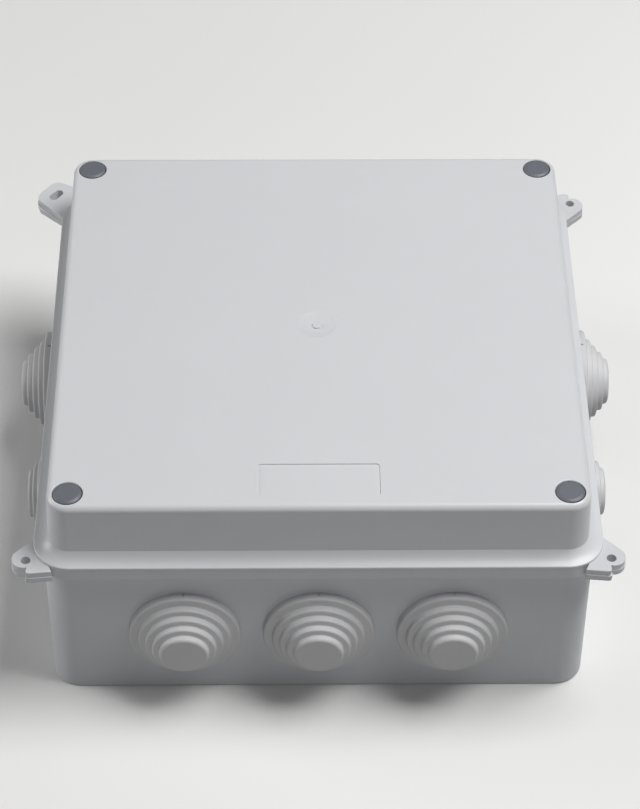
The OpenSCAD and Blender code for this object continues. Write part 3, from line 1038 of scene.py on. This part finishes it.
class JBOX_OT_caps(bpy.types.Operator):
    """Models a bevelled screw cap with its split plug, and plugs the four wells"""

    bl_idname = "jbox.caps"
    bl_label = "Screw Caps"

    def execute(self, context):
        settings = context.scene.jbox_caps
        plastic = cap_plastic(settings.colour)
        low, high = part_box("cap_front_right")
        disc = settings.diameter / 2
        plug = settings.plug / 2
        bore = plug - settings.plug_wall
        seat = high.z - settings.thickness
        lead = 0.5 * MM
        outline = [
            (bore, seat - 0.4 * MM),
            (bore, low.z),
            (plug - lead, low.z),
            (plug, low.z + lead),
            (plug, seat),
            (disc, seat),
            (disc, high.z - 0.5 * MM),
            (disc - settings.bevel, high.z),
        ]
        pattern = turned("cap_pattern", outline, 64)
        round_rings(pattern, outline[-2:], 0.2 * MM, 3)
        slot_low, slot_top = low.z - 1 * MM, seat - 1.2 * MM
        slot = (0.8 * MM, 3 * plug, slot_top - slot_low)
        cut_cross(pattern, "slot", slot, (0, 0, (slot_top + slot_low) / 2))
        smooth(pattern, 40)
        for name, sides in CORNERS.items():
            place = Matrix.Translation((*corner_place(*sides), 0))
            piece = placed_copy(pattern, "plug_cap_" + name, place)
            dress(piece, plastic)
            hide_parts("cap_" + name)
            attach(piece, "cap_" + CORNER_BODY[name])
        remove(pattern)
        return {"FINISHED"}


class JBOX_OT_screws(bpy.types.Operator):
    """Models a cross-recessed screw with its thread, and sets one in each corner"""

    bl_idname = "jbox.screws"
    bl_label = "Lid Screws"

    def execute(self, context):
        settings = context.scene.jbox_screws
        steel = zinc_steel(settings.colour, corner_distance())
        low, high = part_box("screw_front_right")
        under = high.z - settings.head_height
        root = 0.38 * settings.shank
        head = settings.head / 2
        point = 0.2 * settings.shank
        taper_top = low.z + 0.6 * settings.shank
        outline = [
            (point, low.z),
            (root, taper_top),
            (root, under),
            (head, under),
            (head, high.z - 0.8 * MM),
            (head - 0.8 * MM, high.z),
        ]
        pattern = turned("screw_pattern", outline, 64)
        round_rings(pattern, outline[3:4], 0.2 * MM, 2)
        round_rings(pattern, outline[4:6], 0.5 * MM, 4)
        depth = 1.6 * MM
        recess = (settings.recess, settings.recess_width, 2 * depth)
        cut_cross(pattern, "recess", recess, (0, 0, high.z))
        thread = thread_ridge(settings, root, taper_top, under - 3 * MM)
        together("screw_pattern", [pattern, thread])
        smooth(pattern)
        for name, sides in CORNERS.items():
            place = Matrix.Translation((*corner_place(*sides), 0))
            piece = placed_copy(pattern, "lid_screw_" + name, place)
            dress(piece, steel)
            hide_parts("screw_" + name)
            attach(piece, "screw_" + CORNER_BODY[name])
        remove(pattern)
        return {"FINISHED"}


def thread_ridge(settings, root, bottom, top):
    """The thread as a closed helical ridge, sunk a little into the shank."""
    crest = settings.shank / 2
    sunk = root - 0.1 * MM
    half = 0.3 * settings.pitch
    turns = math.floor((top - bottom) / settings.pitch)
    start_clean()
    bpy.ops.mesh.primitive_circle_add(
        vertices=3, radius=half, fill_type="NOTHING", location=(0, 0, 0)
    )
    ridge = bpy.context.object
    ridge.name = "thread"
    section = ((crest, 0.0), (sunk, half), (sunk, -half))
    for vertex, (out, up) in zip(ridge.data.vertices, section):
        vertex.co = (out, 0.0, bottom + half + up)
    screw = ridge.modifiers.new("turns", "SCREW")
    screw.axis = "Z"
    screw.angle = 2 * math.pi
    screw.screw_offset = settings.pitch
    screw.iterations = turns
    screw.steps = screw.render_steps = 32
    screw.use_merge_vertices = False
    bpy.ops.object.modifier_apply(modifier=screw.name)
    edit(ridge)
    bpy.ops.mesh.select_all(action="SELECT")
    bpy.ops.mesh.fill_holes(sides=3)
    return settle(ridge)


class JBOX_OT_seal(bpy.types.Operator):
    """Finishes the foam seal in the flange's groove"""

    bl_idname = "jbox.seal"
    bl_label = "Rim Seal"

    def execute(self, context):
        dress(frame["nodes"]["rim_seal"], seal_foam(FINISH["seal_foam"]))
        return {"FINISHED"}


def area_lamp(name, power, size, location, target):
    """A square soft lamp that points at a target."""
    light = bpy.data.lights.new(name, "AREA")
    light.energy = power
    light.size = size
    lamp = bpy.data.objects.new(name, light)
    bpy.context.scene.collection.objects.link(lamp)
    lamp.location = location
    aim = Vector(target) - Vector(location)
    lamp.rotation_euler = aim.to_track_quat("-Z", "Y").to_euler()


def floor_material(settings):
    """Pale floor: the camera and gloss see its colour, other light meets less of it."""
    graph = Graph("floor")
    camera = graph.node("ShaderNodeLightPath", output="Is Camera Ray")
    gloss = graph.node("ShaderNodeLightPath", output="Is Glossy Ray")
    colour = settings.floor_colour
    thrown = shade(colour, settings.bounce / max(colour))
    tone = graph.blend(camera + gloss, thrown, shade(colour, 1.0))
    return graph.finish(tone, 0.9, constants={"Specular IOR Level": 0.1})


class JBOX_OT_stage(bpy.types.Operator):
    """Adds the floor, the lamps, the world and the camera"""

    bl_idname = "jbox.stage"
    bl_label = "Stage"

    def execute(self, context):
        settings = context.scene.jbox_stage
        start_clean()
        bpy.ops.mesh.primitive_plane_add(size=FLOOR_SIZE, location=(0, 0, 0))
        floor = bpy.context.object
        floor.name = "floor"
        dress(floor, floor_material(settings))
        for name, (size, place) in LAMPS.items():
            area_lamp(name, getattr(settings, name), size, place, LAMP_TARGET)
        world = bpy.data.worlds.new("studio")
        world.use_nodes = True
        background = world.node_tree.nodes["Background"]
        background.inputs["Color"].default_value = (1.0, 1.0, 1.0, 1.0)
        background.inputs["Strength"].default_value = settings.ambient
        context.scene.world = world
        context.scene.view_settings.view_transform = "Standard"
        self.add_camera(context, settings)
        return {"FINISHED"}

    def add_camera(self, context, settings):
        """A camera where the photograph's was, turned by its yaw, pitch and roll."""
        flat = math.cos(PITCH)
        look = Vector((math.sin(YAW) * flat, math.cos(YAW) * flat, -math.sin(PITCH)))
        level = Vector((math.cos(YAW), -math.sin(YAW), 0.0))
        up = level.cross(look)
        right = math.cos(ROLL) * level + math.sin(ROLL) * up
        top = math.cos(ROLL) * up - math.sin(ROLL) * level
        data = bpy.data.cameras.new("camera")
        data.lens = settings.lens
        data.clip_start = 0.01
        camera = bpy.data.objects.new("camera", data)
        context.scene.collection.objects.link(camera)
        turn = Matrix((right, top, -look)).transposed().to_4x4()
        camera.matrix_world = Matrix.Translation(CAMERA_PLACE) @ turn
        context.scene.camera = camera


class JBOX_PT_pieces(bpy.types.Panel):
    """Lists the pieces of the junction box with their settings"""

    bl_idname = "JBOX_PT_pieces"
    bl_label = "Junction Box"
    bl_space_type = "VIEW_3D"
    bl_region_type = "UI"
    bl_category = "Junction Box"

    def draw(self, context):
        for operator, settings in SECTIONS:
            box = self.layout.box()
            box.operator(operator.bl_idname)
            if settings:
                group = getattr(context.scene, settings)
                for name in group.__annotations__:
                    box.prop(group, name)


SECTIONS = (
    (JBOX_OT_body, "jbox_body"),
    (JBOX_OT_lid, "jbox_lid"),
    (JBOX_OT_seal, None),
    (JBOX_OT_screws, "jbox_screws"),
    (JBOX_OT_caps, "jbox_caps"),
    (JBOX_OT_glands, "jbox_glands"),
    (JBOX_OT_stage, "jbox_stage"),
)
SETTINGS = {
    "jbox_body": BodySettings,
    "jbox_lid": LidSettings,
    "jbox_screws": ScrewSettings,
    "jbox_caps": CapSettings,
    "jbox_glands": GlandSettings,
    "jbox_stage": StageSettings,
}


def register():
    """Registers the classes and puts the settings on the scene."""
    for name, group in SETTINGS.items():
        bpy.utils.register_class(group)
        setattr(bpy.types.Scene, name, PointerProperty(type=group))
    for operator, _ in SECTIONS:
        bpy.utils.register_class(operator)
    bpy.utils.register_class(JBOX_PT_pieces)


def unregister():
    """Takes the classes and settings away again."""
    bpy.utils.unregister_class(JBOX_PT_pieces)
    for operator, _ in reversed(SECTIONS):
        bpy.utils.unregister_class(operator)
    for name, group in SETTINGS.items():
        delattr(bpy.types.Scene, name)
        bpy.utils.unregister_class(group)


def main():
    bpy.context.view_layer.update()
    register()
    bpy.ops.jbox.stage()
    bpy.ops.jbox.body()
    bpy.ops.jbox.lid()
    bpy.ops.jbox.seal()
    bpy.ops.jbox.screws()
    bpy.ops.jbox.caps()
    bpy.ops.jbox.glands()


if __name__ == "__main__":
    main()
